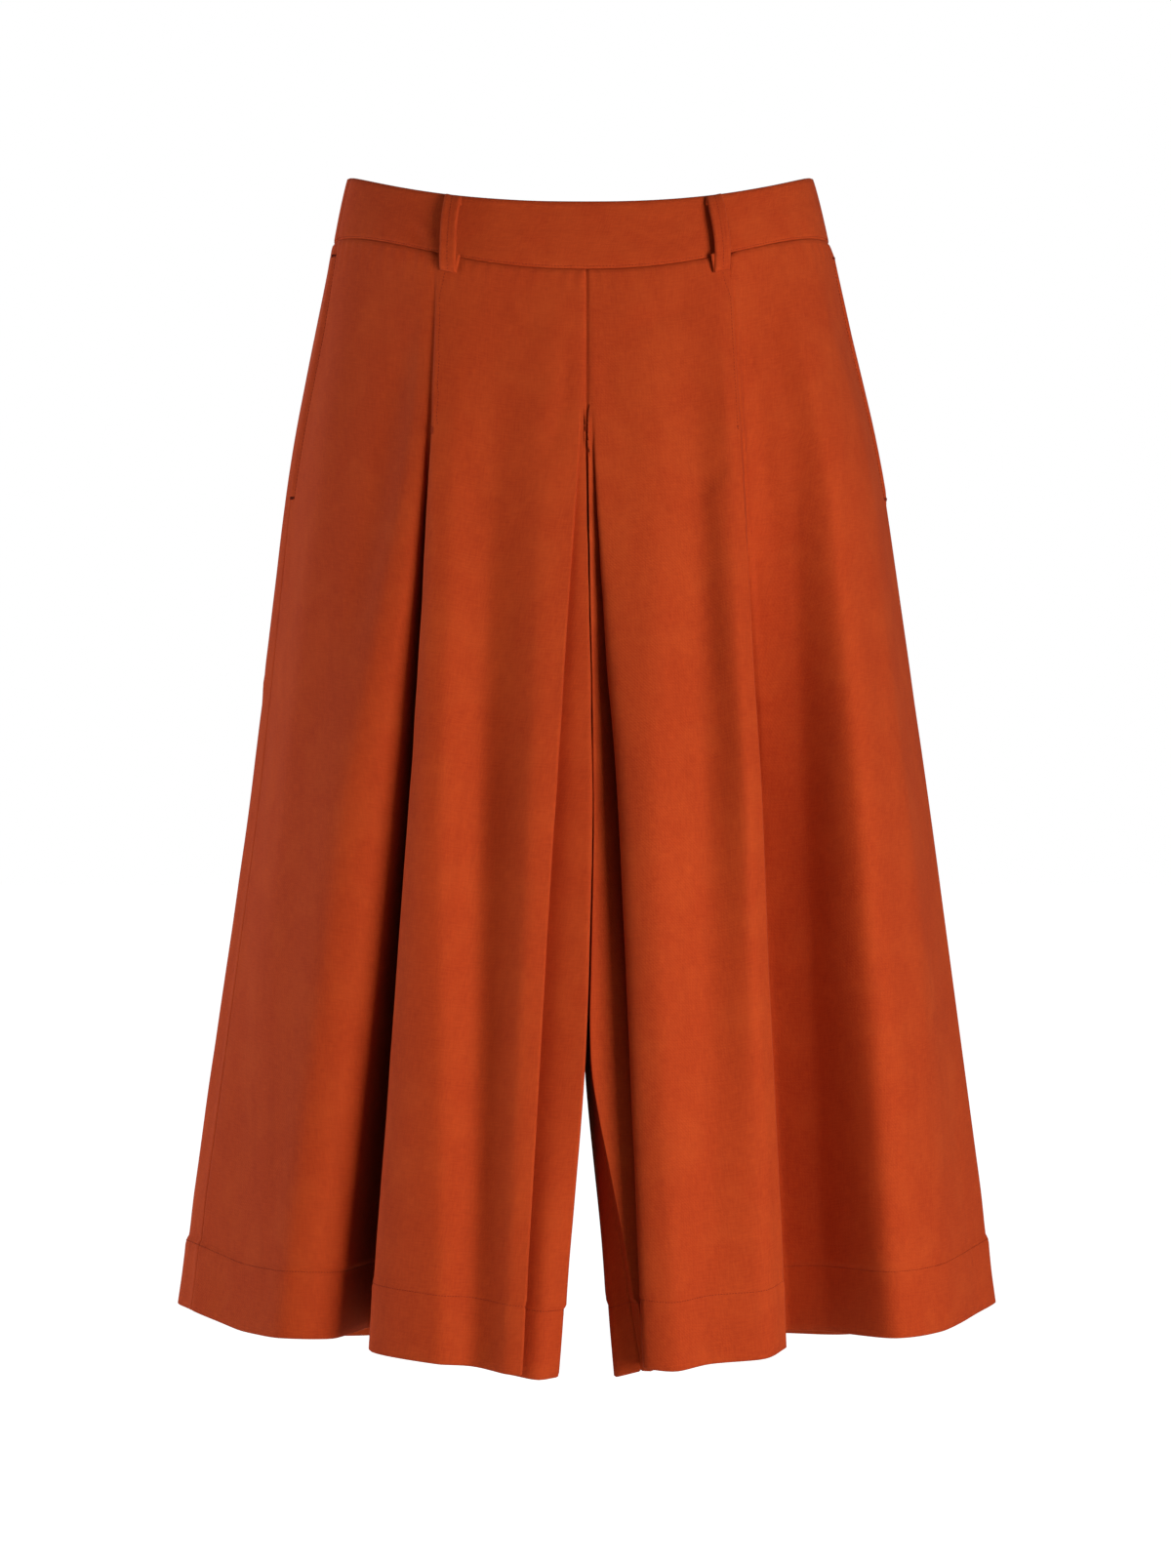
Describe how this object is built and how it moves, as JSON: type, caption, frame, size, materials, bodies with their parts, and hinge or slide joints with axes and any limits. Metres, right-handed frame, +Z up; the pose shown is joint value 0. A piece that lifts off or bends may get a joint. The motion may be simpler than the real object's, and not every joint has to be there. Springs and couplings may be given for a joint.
{
  "type": "culottes",
  "caption": "High-waisted wide-leg culottes with pressed front pleats, belt loops, side pockets and a back zip, filled out as if worn with nobody inside.",
  "frame": {"origin": "middle of the waist opening, level with the waistband's top edge at the sides", "axes": "+Z up, -Y towards the front, +X towards the wearer's left"},
  "size_m": [0.5269, 0.317, 0.7553],
  "materials": {
    "rust_twill": "matte, softly brushed fine twill",
    "painted_zip_metal": "semi-gloss paint matched to the cloth"
  },
  "bodies": {
    "garment": {"front_right": "rust_twill", "front_left": "rust_twill", "back_right": "rust_twill", "back_left": "rust_twill", "waistband_front": "rust_twill", "waistband_back_left": "rust_twill", "waistband_back_right": "rust_twill", "belt_loop_front_right": "rust_twill", "belt_loop_front_left": "rust_twill", "belt_loop_back_right": "rust_twill", "belt_loop_back_left": "rust_twill", "pocket_right": "rust_twill", "pocket_left": "rust_twill", "zip_slider": "painted_zip_metal"},
    "zip_pull": {"zip_pull": "painted_zip_metal"}
  },
  "joints": [
    {"name": "pull_swing", "type": "hinge", "parent": "garment", "child": "zip_pull", "pos_m": [0, 0.10185, -0.01], "axis": [1, 0, 0], "range_deg": [0, 160]}
  ]
}
